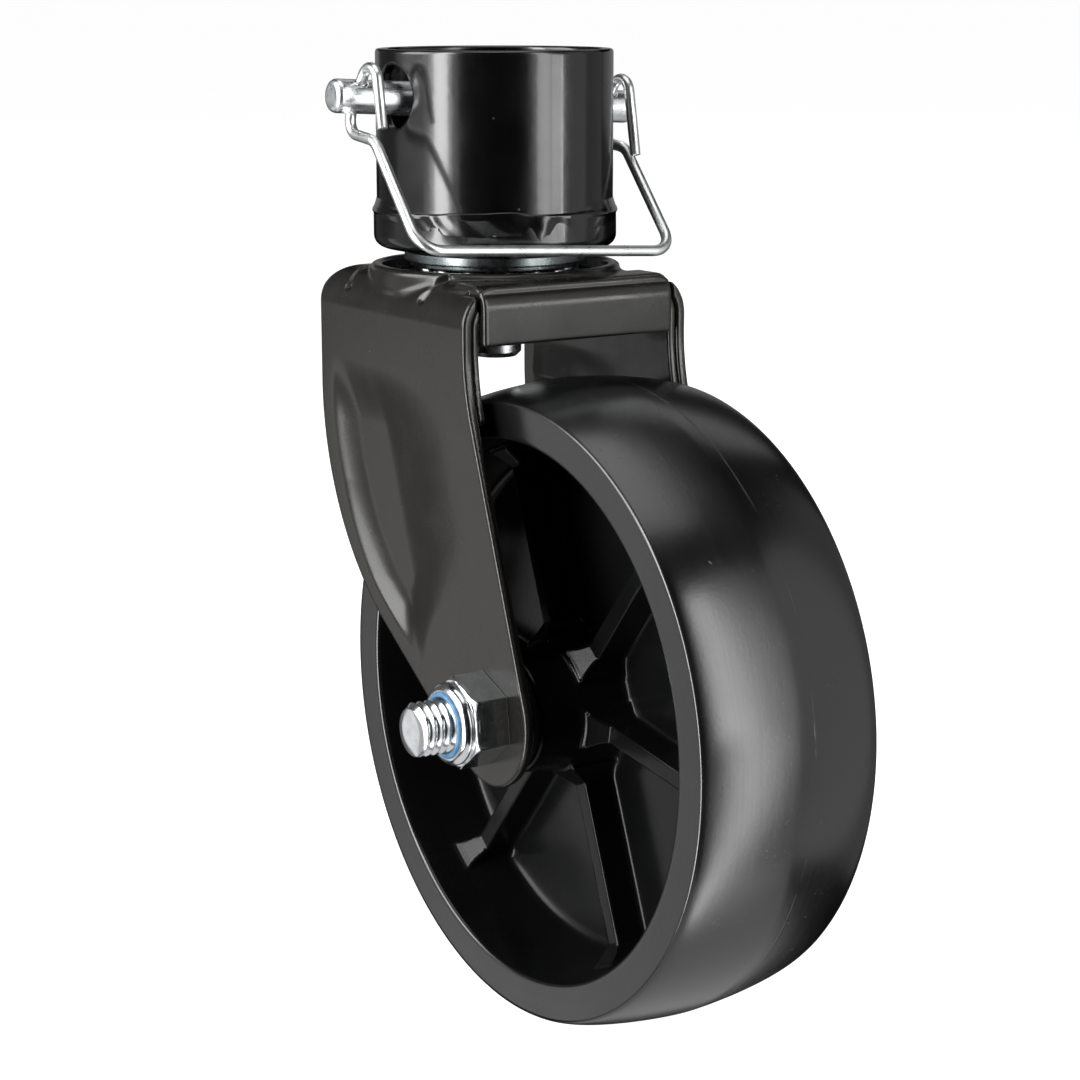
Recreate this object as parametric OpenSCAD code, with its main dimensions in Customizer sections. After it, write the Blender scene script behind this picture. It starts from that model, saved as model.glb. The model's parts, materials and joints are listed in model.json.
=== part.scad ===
// Swivelling caster foot for a trailer tongue jack.
// The socket sleeve slips over the foot of the jack tube and is held by a cross pin
// with a wire bail. Under it a double row of balls carries a stamped steel fork,
// and the fork carries a one-piece moulded wheel on a through bolt.
//
// Frame: the origin is the centre of the sleeve's top rim, on the swivel axis.
// +Z is up, +X points to the side that the wheel trails on, and Y runs along the axle
// with the bolt head at +Y and the lock nut at -Y.

/* [Socket sleeve] */
// Outside diameter of the sleeve
sleeve_od = 57.15; // [56:0.05:58]
// Wall of the sleeve, which leaves the bore for a 50.8 mm jack tube
sleeve_wall = 2.9; // [2.5:0.1:3]
// Height of the sleeve from its rim to the floor of the collar
sleeve_h = 42; // [42:1:44]
// Outside diameter of the collar cup under the sleeve
collar_od = 59.2; // [58.8:0.1:59.6]
// Height of the collar cup's rim above its underside
collar_h = 9.5; // [9:0.5:10]

/* [Lock pin and bail] */
// Diameter of the lock pin
pin_d = 7.94; // [7:0.01:8]
// Length of the lock pin
pin_len = 84; // [82:1:88]
// Depth of the pin's axis below the sleeve's rim, on the swivel axis
pin_drop = 12.7; // [12:0.1:12.7]
// Angle that the loose pin hangs down towards its +Y end
pin_droop = 3.2; // [0:0.1:3.4]
// Distance that the pin sits towards -Y
pin_shift = 2.7; // [1:0.1:3]
// Diameter of the cross holes in the sleeve
cross_hole_d = 14.8; // [14.8:0.1:15.2]
// Diameter of the bail's spring wire
wire_d = 2.6; // [2.4:0.1:2.8]
// Half the width of the bail, between the wire's centre lines
bail_half = 35.3; // [34.5:0.1:36]
// Length of the bail from the pin's axis to its bar
bail_reach = 45.6; // [45.6:0.1:48]
// Angle of the resting bail forward of hanging straight down
bail_lean = 43.5; // [43:0.1:45]

/* [Swivel] */
// Diameter of the kingpin
kingpin_d = 12.7; // [12:0.1:13]
// Diameter of the upper race's flange
race_od = 44; // [42:1:46]
// Diameter of the upper balls
upper_ball_d = 6.35; // [6.35:0.01:6.4]
// Diameter of the lower balls
lower_ball_d = 4.76; // [4.7:0.01:4.8]

/* [Fork] */
// Outside width of the fork across its cheeks
fork_w = 62.6; // [62:0.1:63]
// Thickness of the fork's steel sheet
sheet = 2.5; // [2.3:0.1:2.6]
// Outside bend radius between the top plate and a cheek
fork_bend = 9.5; // [8:0.5:10]
// Horizontal distance from the swivel axis to the axle
trail = 45; // [44:0.5:46]
// Depth of the axle below the sleeve's rim
axle_drop = 150.4; // [149:0.2:152]
// Radius of the round end of a cheek
cheek_end_r = 16.5; // [16:0.5:17]

/* [Wheel] */
// Outside diameter of the wheel
wheel_d = 152.4; // [150:0.2:152.4]
// Width of the wheel across its lips
wheel_w = 47.8; // [46:0.2:48]
// Diameter where the crowned tread meets the flat lip
lip_od = 145; // [143:0.5:146]
// Inside diameter of the lip
lip_id = 127.6; // [126:0.2:129]
// Number of ribs on each side
ribs = 6; // [5:1:7]
// Angle of the first rib from +X
rib_phase = -9; // [-30:1:30]

/* [Axle] */
// Diameter of the axle bolt
bolt_d = 12.7; // [12.5:0.1:12.8]
// Length of the axle bolt under its head
bolt_len = 83; // [82:0.5:86]
// Width of the bolt head and of the nuts across their flats
hex_af = 19.05; // [18.8:0.05:19.2]

/* [Hidden] */
$fn = 96;

// Socket
sleeve_r = sleeve_od / 2;
bore_r = sleeve_r - sleeve_wall;
collar_r = collar_od / 2;
collar_floor_z = -sleeve_h;
collar_bottom_z = -47.1;
collar_top_z = collar_bottom_z + collar_h;
collar_edge = 2.5;
rim_chamfer = 0.5;
weld_r = 1.3;
fit_gap = 0.1;

// Pin and bail
pin_r = pin_d / 2;
pin_chamfer = 0.8;
wire_r = wire_d / 2;
hole_drop = 11;
hole_lean = 30;
cross_wire_d = wire_d + 0.4;
free_leg_lean = 15;
free_leg_out = 10.7;
near_leg_low = -7;
far_leg_low = -11.5;
hook_bend = 3.7;
under_reach = 9.5;
under_bend = 3.6;
leg_start = 13.5;
leg_bend = 6;
wire_sides = 10;
bend_step = 18;

// Swivel stack, from the collar down
race_top_z = collar_bottom_z - 0.9;
race_flange_z = race_top_z - 2.4;
race_bottom_z = race_flange_z - 1.2;
race_step_r = race_od / 2 - 1.5;
race_hub_r = 13;
upper_pitch = 16;
lower_pitch = 14;
ball_gap = 0.3;
ball_count = 14;
upper_ball_z = -52.9;
lower_ball_z = -59.7;
lower_race_z = -61.2;
lower_race_h = 2.4;
lower_race_r = 21;
kingpin_washer_r = 13.7;
kingpin_washer_h = 1.4;
kingpin_nut_h = 5.4;
kingpin_end_z = -74;
kingpin_head_r = 11;
kingpin_head_h = 4.5;
kingpin_chamfer = 1.2;

// Fork
fork_top_z = -52.4;
boss_top_z = -51;
boss_r = 30.4;
dish_r = 27.5;
dish_floor_z = -54.2;
dish_bottom_z = -57.4;
fork_half = fork_w / 2;
fork_back = -32;
fork_front = 35.7;
back_corner = 7;
back_arc_r = 69.4;
back_arc_z = -81;
front_lean = 19.5;
panel_front = 37;
panel_half = 26.4;
panel_bottom_z = -66;
panel_bend = 5;
dish_hole_r = kingpin_d / 2 + 0.8;
relief_r = 1.1;
relief_y = panel_half + 0.15;
relief_z = -54.8;
sheet_gap = 0.05;
cheek_inner = fork_half - sheet - sheet_gap;
emboss = 0.8;
emboss_r = 6;
emboss_corners = [[-21.5, -78], [28, -80], [36, -112], [20, -137], [7.5, -132], [-15, -104]];
channel_sheet = 2;
channel_low_z = -84;
channel_back = -24;
bead_r = 1.2;
bead_len = 6;
bead_places = [25, 34];
axle_z = -axle_drop;

// Wheel
wheel_r = wheel_d / 2;
wheel_half = wheel_w / 2;
lip_r = lip_od / 2;
lip_inner_r = lip_id / 2;
web_r = 60.3;
web_half = 1.9;
hub_r = 15.5;
hub_end_r = 14;
hub_half = 25.5;
rib_t = 4.4;
rib_top = 9.9;
rib_rise = 4;
bushing_or = 10;
bushing_len = 18;
axle_sleeve_or = 8;
run_gap = 0.05;
side_play = 0.3;
flange_r = 13;
flange_t = 1.2;
washer_r = 12.5;
tread_steps = 9;

// Axle
nut_hex_h = 9;
nut_turn = 8;
nut_h = 11.8;
insert_low = nut_hex_h - 0.6;
insert_r = bolt_d / 2 + 1.4;
head_h = 8;
bolt_chamfer = 0.9;
thread_gap = 0.03;

function unit(v) = v / norm(v);

// Direction pointing to the side of the turn, at right angles to the way in
function turn_normal(a, b) = unit(b - a * (a * b));

// Points of a rounded corner at p, coming along unit vector a and leaving along b
function corner(p, a, b, r) =
    let(turn = acos(a * b), back = r * tan(turn / 2),
        start = p - a * back, n = turn_normal(a, b),
        steps = max(2, ceil(turn / bend_step)))
    [for (i = [0 : steps]) let(t = turn * i / steps)
        start + a * r * sin(t) + n * r * (1 - cos(t))];

// A path through corners, each rounded by its own radius
function rounded_path(pts, radii) =
    concat([pts[0]],
           [for (i = [1 : len(pts) - 2])
               each corner(pts[i], unit(pts[i] - pts[i - 1]),
                           unit(pts[i + 1] - pts[i]), radii[i])],
           [pts[len(pts) - 1]]);

// A closed outline with every corner rounded by r
function rounded_loop(pts, r) =
    let(n = len(pts))
    [for (i = [0 : n - 1])
        each corner(pts[i], unit(pts[i] - pts[(i + n - 1) % n]),
                    unit(pts[(i + 1) % n] - pts[i]), r)];

// Unit tangent of a path at each of its points
function tangent(p, i) =
    i == 0 ? unit(p[1] - p[0])
    : i == len(p) - 1 ? unit(p[i] - p[i - 1])
    : unit(unit(p[i] - p[i - 1]) + unit(p[i + 1] - p[i]));

// Ring normals that are carried along the path without twisting
function carry(p, i, n) =
    i >= len(p) ? []
    : let(t = tangent(p, i), m = unit(n - t * (n * t)))
      concat([m], carry(p, i + 1, m));

// A closed round tube of radius r along a list of points
module swept_tube(path, r, sides, start_normal) {
    normals = carry(path, 0, start_normal);
    rings = [for (i = [0 : len(path) - 1], k = [0 : sides - 1])
        let(t = tangent(path, i), n = normals[i], a = 360 * k / sides)
        path[i] + r * (n * cos(a) + cross(t, n) * sin(a))];
    last = (len(path) - 1) * sides;
    walls = [for (i = [0 : len(path) - 2], k = [0 : sides - 1])
        let(j = (k + 1) % sides, a = i * sides, b = a + sides)
        each [[a + k, b + k, b + j], [a + k, b + j, a + j]]];
    caps = [[for (k = [0 : sides - 1]) k],
            [for (k = [sides - 1 : -1 : 0]) last + k]];
    polyhedron(rings, concat(walls, caps), convexity = 6);
}

// A ring about Z with a flat top and bottom
module ring(outer_r, inner_r, low_z, high_z) {
    difference() {
        translate([0, 0, low_z]) cylinder(r = outer_r, h = high_z - low_z);
        translate([0, 0, low_z - 1]) cylinder(r = inner_r, h = high_z - low_z + 2);
    }
}

// The torus that a ball groove is cut with
module groove(pitch, z, r) {
    translate([0, 0, z]) rotate_extrude() translate([pitch, 0]) circle(r = r);
}

// Children drawn about Z are laid along -Y at the axle
module on_axle() {
    translate([trail, 0, axle_z]) rotate([90, 0, 0]) children();
}

// Children are placed in the lock pin's own frame, with the pin along Y
module pin_frame() {
    translate([0, 0, -pin_drop]) rotate([-pin_droop, 0, 0])
        translate([0, -pin_shift, 0]) children();
}

// A hexagon prism with chamfered corners, standing on z = 0
module hex_prism(af, h, both_ends) {
    corner_r = af / sqrt(3);
    wide_r = corner_r + 1;
    drop = (wide_r - af / 2) * 0.5;
    intersection() {
        rotate([0, 0, 30]) cylinder(r = corner_r, h = h, $fn = 6);
        rotate_extrude() polygon([[0, 0], [both_ends ? af / 2 : wide_r, 0],
                                  [wide_r, both_ends ? drop : 0], [wide_r, h - drop],
                                  [af / 2, h], [0, h]]);
    }
}

module sleeve_tube() {
    color([0.04, 0.04, 0.04]) difference() {
        rotate_extrude() polygon([
            [bore_r, collar_floor_z], [sleeve_r, collar_floor_z],
            [sleeve_r, -rim_chamfer], [sleeve_r - rim_chamfer, 0],
            [bore_r + rim_chamfer, 0], [bore_r, -rim_chamfer]]);
        translate([0, 0, -hole_drop]) rotate([90, 0, 0])
            cylinder(d = cross_hole_d, h = 2 * sleeve_od, center = true);
    }
}

module collar_cup() {
    seat_r = sleeve_r + fit_gap;
    hole_r = kingpin_d / 2 + thread_gap;
    color([0.05, 0.05, 0.05]) difference() {
        union() {
            translate([0, 0, collar_bottom_z + collar_edge])
                cylinder(r = collar_r, h = collar_h - collar_edge);
            translate([0, 0, collar_bottom_z])
                cylinder(r = collar_r - collar_edge, h = collar_h);
            translate([0, 0, collar_bottom_z + collar_edge])
                rotate_extrude() translate([collar_r - collar_edge, 0]) circle(r = collar_edge);
        }
        translate([0, 0, collar_floor_z]) cylinder(r = seat_r, h = collar_h);
        translate([0, 0, collar_bottom_z - 1]) cylinder(r = hole_r, h = collar_h);
    }
}

// Fillet bead where the sleeve enters the collar
module sleeve_weld() {
    color([0.05, 0.05, 0.05]) rotate_extrude() polygon([
        [sleeve_r, collar_top_z], [collar_r - 0.1, collar_top_z],
        [collar_r - 0.25, collar_top_z + weld_r * 0.6],
        [sleeve_r + weld_r * 0.35, collar_top_z + weld_r * 1.3],
        [sleeve_r, collar_top_z + weld_r * 1.9]]);
}

module kingpin() {
    shank_r = kingpin_d / 2;
    color("silver") rotate_extrude() polygon([
        [0, kingpin_end_z], [shank_r - kingpin_chamfer, kingpin_end_z],
        [shank_r, kingpin_end_z + kingpin_chamfer], [shank_r, collar_floor_z],
        [kingpin_head_r, collar_floor_z],
        [kingpin_head_r, collar_floor_z + kingpin_head_h - 1],
        [kingpin_head_r - 1, collar_floor_z + kingpin_head_h],
        [0, collar_floor_z + kingpin_head_h]]);
}

module upper_race() {
    hole_r = kingpin_d / 2 + fit_gap;
    color([0.35, 0.36, 0.37]) difference() {
        union() {
            ring(race_hub_r, hole_r, race_top_z, collar_bottom_z);
            ring(race_od / 2, hole_r, race_flange_z, race_top_z);
            ring(race_step_r, hole_r, race_bottom_z, race_flange_z);
        }
        groove(upper_pitch, upper_ball_z, upper_ball_d / 2 + ball_gap);
    }
}

module lower_race() {
    hole_r = kingpin_d / 2 + fit_gap;
    color([0.35, 0.36, 0.37]) difference() {
        ring(lower_race_r, hole_r, lower_race_z - lower_race_h, lower_race_z);
        groove(lower_pitch, lower_ball_z, lower_ball_d / 2 + ball_gap);
    }
}

module kingpin_washer() {
    top_z = lower_race_z - lower_race_h;
    color("silver")
        ring(kingpin_washer_r, kingpin_d / 2 + fit_gap, top_z - kingpin_washer_h, top_z);
}

module kingpin_nut() {
    top_z = lower_race_z - lower_race_h - kingpin_washer_h;
    color("silver") difference() {
        translate([0, 0, top_z - kingpin_nut_h]) hex_prism(hex_af, kingpin_nut_h, true);
        translate([0, 0, top_z - 2 * kingpin_nut_h])
            cylinder(r = kingpin_d / 2 + thread_gap, h = 3 * kingpin_nut_h);
    }
}

// A circle of balls about the swivel axis
module ball_row(pitch, z, d) {
    for (i = [0 : ball_count - 1])
        rotate([0, 0, 360 * i / ball_count]) translate([pitch, 0, z]) sphere(d = d);
}

module upper_balls() {
    color("silver") ball_row(upper_pitch, upper_ball_z, upper_ball_d);
}

module lower_balls() {
    color("silver") ball_row(lower_pitch, lower_ball_z, lower_ball_d);
}

module locking_pin() {
    half = pin_len / 2;
    color("silver") pin_frame() difference() {
        rotate([90, 0, 0]) rotate_extrude() polygon([
            [0, -half], [pin_r - pin_chamfer, -half], [pin_r, -half + pin_chamfer],
            [pin_r, half - pin_chamfer], [pin_r - pin_chamfer, half], [0, half]]);
        for (side = [-1, 1])
            translate([0, side * bail_half, 0]) rotate([0, hole_lean, 0])
                cylinder(d = cross_wire_d, h = 3 * pin_d, center = true);
    }
}

// Corners of one side of the bail, from the free end of the hook to the bar
function bail_side(side) =
    let(s = side * bail_half,
        low = side < 0 ? near_leg_low : far_leg_low,
        up = [sin(hole_lean), cos(hole_lean)],
        hook_w = free_leg_out / (tan(hole_lean) + tan(free_leg_lean)),
        leg = [sin(bail_lean), -cos(bail_lean)])
    [[free_leg_out - low * tan(free_leg_lean), s, low],
     [hook_w * tan(hole_lean), s, hook_w],
     [-under_reach * up[0], s, -under_reach * up[1]],
     [leg_start * leg[0], s, leg_start * leg[1]],
     [bail_reach * leg[0], s, bail_reach * leg[1]]];

module bail_wire() {
    near = bail_side(-1);
    far = bail_side(1);
    corners = concat(near, [for (i = [4 : -1 : 0]) far[i]]);
    radii = [0, hook_bend, under_bend, leg_bend, leg_bend,
             leg_bend, leg_bend, under_bend, hook_bend, 0];
    color("silver") pin_frame()
        swept_tube(rounded_path(corners, radii), wire_r, wire_sides, [0, 1, 0]);
}

// Cross-section of a bent channel, looking along X
module channel_section(half, top_z, bend, t) {
    difference() {
        channel_outer(half, top_z, bend);
        channel_outer(half - t, top_z - t, max(bend - t, 1));
    }
}

module channel_outer(half, top_z, bend) {
    deep = 130;
    translate([-half, top_z - bend - deep]) square([2 * half, deep]);
    translate([-half + bend, top_z - bend - deep]) square([2 * (half - bend), deep + bend]);
    for (side = [-1, 1])
        translate([side * (half - bend), top_z - bend]) circle(r = bend);
}

// Unit vectors from the axle to where the cheek's straight edges touch its round end
back_centre = [fork_back + back_arc_r, back_arc_z];
axle_xz = [trail, axle_z];
to_axle = axle_xz - back_centre;
back_angle = atan2(to_axle[1], to_axle[0])
           - acos((back_arc_r - cheek_end_r) / norm(to_axle));
back_touch = [cos(back_angle), sin(back_angle)];
front_touch = [cos(front_lean), sin(front_lean)];
front_foot = axle_xz + cheek_end_r * front_touch;
front_knee_z = front_foot[1] + (front_foot[0] - fork_front) / tan(front_lean);

// Outline of the cheeks, looking along Y
module cheek_outline() {
    big = back_centre + back_arc_r * back_touch;
    end = axle_xz + cheek_end_r * back_touch;
    polygon([[fork_back + back_corner, fork_top_z], [fork_back, fork_top_z - back_corner],
             [fork_back, back_arc_z], big, end, axle_xz, front_foot,
             [fork_front, front_knee_z], [fork_front, fork_top_z]]);
    translate([fork_back + back_corner, fork_top_z - back_corner]) circle(r = back_corner);
    translate(axle_xz) circle(r = cheek_end_r);
    intersection() {
        translate(back_centre) circle(r = back_arc_r, $fn = 200);
        polygon([[fork_back, back_arc_z], [fork_back - 5, back_arc_z],
                 [fork_back - 5, big[1] - 20], big]);
    }
}

module fork_shell() {
    channel_start = fork_back - 5;
    channel_end = trail + cheek_end_r + 5;
    color([0.16, 0.16, 0.15]) difference() {
        union() {
            intersection() {
                translate([channel_start, 0, 0]) rotate([90, 0, 90])
                    linear_extrude(channel_end - channel_start)
                        channel_section(fork_half, fork_top_z, fork_bend, sheet);
                rotate([90, 0, 0]) linear_extrude(fork_w + 10, center = true) cheek_outline();
            }
            translate([0, 0, dish_bottom_z]) cylinder(r = boss_r, h = boss_top_z - dish_bottom_z);
            front_panel();
        }
        translate([0, 0, dish_floor_z]) cylinder(r = dish_r, h = 10);
        groove(upper_pitch, upper_ball_z, upper_ball_d / 2 + ball_gap);
        groove(lower_pitch, lower_ball_z, lower_ball_d / 2 + ball_gap);
        translate([0, 0, dish_bottom_z - 1]) cylinder(r = dish_hole_r, h = 10);
        on_axle() cylinder(r = bolt_d / 2 + fit_gap, h = fork_w + 10, center = true);
        for (side = [-1, 1]) {
            translate([0, side * fork_half, 0]) rotate([90, 0, 0])
                linear_extrude(2 * emboss, center = true)
                    polygon(rounded_loop(emboss_corners, emboss_r));
            translate([fork_front, side * relief_y, relief_z]) rotate([0, 90, 0])
                cylinder(r = relief_r, h = 9, center = true);
        }
    }
}

// The top plate's front edge, bent down between the cheeks
module front_panel() {
    back = panel_front - panel_bend;
    intersection() {
        union() {
            translate([panel_front - sheet, -panel_half, panel_bottom_z])
                cube([sheet, 2 * panel_half, fork_top_z - panel_bend - panel_bottom_z]);
            difference() {
                translate([back, panel_half, fork_top_z - panel_bend]) rotate([90, 0, 0])
                    cylinder(r = panel_bend, h = 2 * panel_half);
                translate([back, panel_half + 1, fork_top_z - panel_bend]) rotate([90, 0, 0])
                    cylinder(r = panel_bend - sheet, h = 2 * panel_half + 2);
                translate([back - 2 * panel_bend, -fork_half, fork_top_z - 3 * panel_bend])
                    cube([2 * panel_bend, fork_w, 4 * panel_bend]);
                translate([back - panel_bend, -fork_half, fork_top_z - 4 * panel_bend])
                    cube([3 * panel_bend, fork_w, 3 * panel_bend]);
            }
        }
        rotate([90, 0, 90]) linear_extrude(2 * panel_front)
            channel_outer(fork_half, fork_top_z, fork_bend);
    }
}

// Second channel that doubles the cheeks and the top plate near the front
module inner_channel() {
    front = fork_front - 0.4;
    slope_x = front + (front_knee_z - channel_low_z) * tan(front_lean);
    slot_half = panel_half + 0.3;
    color([0.14, 0.14, 0.13]) difference() {
        intersection() {
            translate([channel_back, 0, 0]) rotate([90, 0, 90])
                linear_extrude(slope_x - channel_back + 1)
                    channel_section(cheek_inner, fork_top_z - sheet - sheet_gap,
                                    fork_bend - sheet, channel_sheet);
            rotate([90, 0, 0]) linear_extrude(fork_w, center = true)
                polygon([[channel_back, fork_top_z], [channel_back, channel_low_z],
                         [slope_x, channel_low_z], [front, front_knee_z],
                         [front, fork_top_z]]);
        }
        translate([0, 0, dish_bottom_z - 3]) cylinder(r = boss_r + 0.4, h = 12);
        translate([panel_front - sheet - 0.4, -slot_half, panel_bottom_z - 3])
            cube([10, 2 * slot_half, 30]);
        translate([panel_front - panel_bend - 0.6, -slot_half, fork_top_z - panel_bend - sheet])
            cube([10, 2 * slot_half, 30]);
    }
}

// Short fillet beads along the inner channel's lower edge
module channel_welds() {
    color([0.14, 0.14, 0.13]) for (side = [-1, 1], x = bead_places)
        intersection() {
            translate([x, side * cheek_inner, channel_low_z]) rotate([0, 90, 0])
                cylinder(r = bead_r, h = bead_len, center = true);
            translate([x - bead_len, side * (cheek_inner - bead_r) - bead_r, channel_low_z - 2 * bead_r])
                cube([2 * bead_len, 2 * bead_r, 2 * bead_r - sheet_gap]);
        }
}

module axle_bolt() {
    r = bolt_d / 2;
    tip = bolt_len - fork_half;
    color("silver") on_axle() union() {
        rotate_extrude() polygon([[0, -fork_half], [r, -fork_half], [r, tip - bolt_chamfer],
                                  [r - bolt_chamfer, tip], [0, tip]]);
        translate([0, 0, -fork_half]) mirror([0, 0, 1]) hex_prism(hex_af, head_h, false);
    }
}

module axle_nut() {
    collar_top_r = hex_af / 2 - 0.2;
    bore = bolt_d / 2 + thread_gap;
    color("silver") on_axle() translate([0, 0, fork_half]) difference() {
        union() {
            rotate([0, 0, nut_turn]) hex_prism(hex_af, nut_hex_h, false);
            rotate_extrude() polygon([[0, nut_hex_h - 1], [collar_top_r, nut_hex_h - 1],
                [collar_top_r, nut_hex_h + 1], [collar_top_r - 1.2, nut_h], [0, nut_h]]);
        }
        translate([0, 0, -1]) cylinder(r = bore, h = 20);
        translate([0, 0, insert_low]) cylinder(r = insert_r, h = 20);
    }
}

// Nylon locking ring inside the nut's collar
module nut_insert() {
    color([0.1, 0.35, 0.75]) on_axle() translate([0, 0, fork_half])
        ring(insert_r, bolt_d / 2 + thread_gap, insert_low, nut_h - 0.5);
}

// Steel tube that the bolt clamps between the cheeks, on which the wheel turns
module axle_sleeve() {
    color("silver") on_axle()
        ring(axle_sleeve_or, bolt_d / 2 + fit_gap, -cheek_inner, cheek_inner);
}

module thrust_washers() {
    inner = hub_half + flange_t + side_play;
    color("silver") on_axle() for (side = [-1, 1])
        ring(washer_r, axle_sleeve_or + fit_gap,
             side > 0 ? inner : -cheek_inner, side > 0 ? cheek_inner : -inner);
}

module hub_bushings() {
    bore = axle_sleeve_or + run_gap;
    color([0.85, 0.83, 0.78]) on_axle() for (side = [-1, 1])
        mirror([0, 0, side > 0 ? 0 : 1]) union() {
            ring(bushing_or, bore, hub_half - bushing_len, hub_half);
            ring(flange_r, bore, hub_half, hub_half + flange_t);
        }
}

// Radius of the crowned tread at a share of the half width
function tread_r(share) =
    lip_r + (wheel_r - lip_r) * pow(1 - pow(abs(share), 1.5), 1 / 1.5);

// One rib and its ramps, in the plane of radius and axle
module rib_profile() {
    low = web_half - 0.5;
    polygon([[hub_r - 2.5, low], [hub_r - 2.5, rib_top + rib_rise], [hub_r, rib_top + rib_rise],
             [hub_r + rib_rise, rib_top], [web_r - 3, rib_top],
             [web_r + 1, rib_top + rib_rise], [web_r + 3.5, rib_top + rib_rise],
             [web_r + 2, low]]);
}

module wheel() {
    crown = [for (i = [0 : 2 * tread_steps])
        let(s = -1 + i / tread_steps, share = sin(s * 90))
        [tread_r(share), share * wheel_half]];
    rim_inner = [[lip_inner_r, wheel_half], [web_r, web_half],
                 [web_r, -web_half], [lip_inner_r, -wheel_half]];
    color([0.07, 0.07, 0.07]) on_axle() difference() {
        union() {
            rotate_extrude($fn = 180) polygon(concat(crown, rim_inner));
            translate([0, 0, -web_half]) cylinder(r = web_r + 1, h = 2 * web_half);
            for (side = [-1, 1]) mirror([0, 0, side > 0 ? 0 : 1]) {
                cylinder(r1 = hub_r, r2 = hub_end_r, h = hub_half);
                for (k = [0 : ribs - 1]) rotate([0, 0, rib_phase + k * 360 / ribs])
                    rotate([90, 0, 0]) linear_extrude(rib_t, center = true) rib_profile();
            }
        }
        cylinder(r = bushing_or, h = 2 * hub_half + 2, center = true);
    }
}

sleeve_tube();
collar_cup();
sleeve_weld();
kingpin();
upper_race();
lower_race();
kingpin_washer();
kingpin_nut();
locking_pin();
bail_wire();
upper_balls();
lower_balls();
fork_shell();
inner_channel();
channel_welds();
axle_bolt();
axle_nut();
nut_insert();
axle_sleeve();
thrust_washers();
wheel();
hub_bushings();
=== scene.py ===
import json
import math

import bmesh
import bpy
import numpy as np
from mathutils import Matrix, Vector

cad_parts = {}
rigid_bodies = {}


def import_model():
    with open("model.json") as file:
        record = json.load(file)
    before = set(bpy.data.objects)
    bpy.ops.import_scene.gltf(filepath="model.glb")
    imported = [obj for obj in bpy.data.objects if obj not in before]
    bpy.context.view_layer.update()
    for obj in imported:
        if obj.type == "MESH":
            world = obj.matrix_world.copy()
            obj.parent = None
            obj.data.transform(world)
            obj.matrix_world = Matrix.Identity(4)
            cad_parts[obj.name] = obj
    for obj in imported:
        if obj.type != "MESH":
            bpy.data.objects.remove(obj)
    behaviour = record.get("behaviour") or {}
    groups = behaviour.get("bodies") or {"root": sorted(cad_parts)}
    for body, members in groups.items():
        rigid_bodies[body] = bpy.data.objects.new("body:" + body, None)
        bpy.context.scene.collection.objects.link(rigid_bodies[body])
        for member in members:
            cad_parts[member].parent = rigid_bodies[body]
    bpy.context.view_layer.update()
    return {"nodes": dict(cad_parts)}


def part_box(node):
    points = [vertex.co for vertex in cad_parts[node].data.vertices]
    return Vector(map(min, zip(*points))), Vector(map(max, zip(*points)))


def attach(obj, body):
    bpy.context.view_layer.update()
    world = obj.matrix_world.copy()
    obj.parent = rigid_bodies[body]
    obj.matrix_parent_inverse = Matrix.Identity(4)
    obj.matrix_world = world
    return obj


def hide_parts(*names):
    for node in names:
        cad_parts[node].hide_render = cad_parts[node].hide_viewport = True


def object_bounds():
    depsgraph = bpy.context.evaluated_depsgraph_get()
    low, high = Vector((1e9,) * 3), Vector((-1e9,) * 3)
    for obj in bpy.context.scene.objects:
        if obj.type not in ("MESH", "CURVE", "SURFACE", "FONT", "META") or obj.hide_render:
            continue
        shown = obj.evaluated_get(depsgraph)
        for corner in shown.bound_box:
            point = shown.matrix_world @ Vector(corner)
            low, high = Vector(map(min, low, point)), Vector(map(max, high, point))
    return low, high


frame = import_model()

# Lengths are in millimetres until a mesh is made, and turned angles are in degrees.
MM = 0.001


# ---------------------------------------------------------------- places taken from the frame

def box_mm(node):
    """Lowest and highest corner of a CAD node, in millimetres."""
    low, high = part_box(node)
    return np.array(low) / MM, np.array(high) / MM


SLEEVE_LOW, SLEEVE_HIGH = box_mm("sleeve_tube")
CUP_LOW, CUP_HIGH = box_mm("collar_cup")
RACE_LOW, RACE_HIGH = box_mm("upper_race")
FORK_LOW, FORK_HIGH = box_mm("fork_shell")
CHANNEL_LOW, CHANNEL_HIGH = box_mm("inner_channel")
WHEEL_LOW, WHEEL_HIGH = box_mm("wheel")
NUT_LOW = box_mm("axle_nut")[0]
BOLT_LOW, BOLT_HIGH = box_mm("axle_bolt")

SLEEVE_R = SLEEVE_HIGH[0]
CUP_R = CUP_HIGH[0]
AXLE = (WHEEL_LOW + WHEEL_HIGH) / 2
WHEEL_R = (WHEEL_HIGH[2] - WHEEL_LOW[2]) / 2
FORK_HALF = FORK_HIGH[1]
FORK_BACK = FORK_LOW[0]
NUT_AF = BOLT_HIGH[0] - BOLT_LOW[0]  # the bolt's head and the nut are equally wide across flats


# ---------------------------------------------------------------- fields and their surfaces

def smooth_min(a, b, k):
    """The smaller of two fields, blended over a width k."""
    h = np.clip(0.5 + 0.5 * (b - a) / k, 0, 1)
    return b + (a - b) * h - k * h * (1 - h)


def smooth_max(a, b, k):
    """The larger of two fields, blended over a width k."""
    return -smooth_min(-a, -b, k)


def step_up(x, width):
    """0 below 0, 1 above width, and smooth between."""
    t = np.clip(x / width, 0, 1)
    return t * t * (3 - 2 * t)


def round_corner(x, y, r):
    """Distance to the corner region x < 0, y < 0 whose corner is rounded by r."""
    x, y = x + r, y + r
    return np.hypot(np.maximum(x, 0), np.maximum(y, 0)) + np.minimum(np.maximum(x, y), 0) - r


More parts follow.
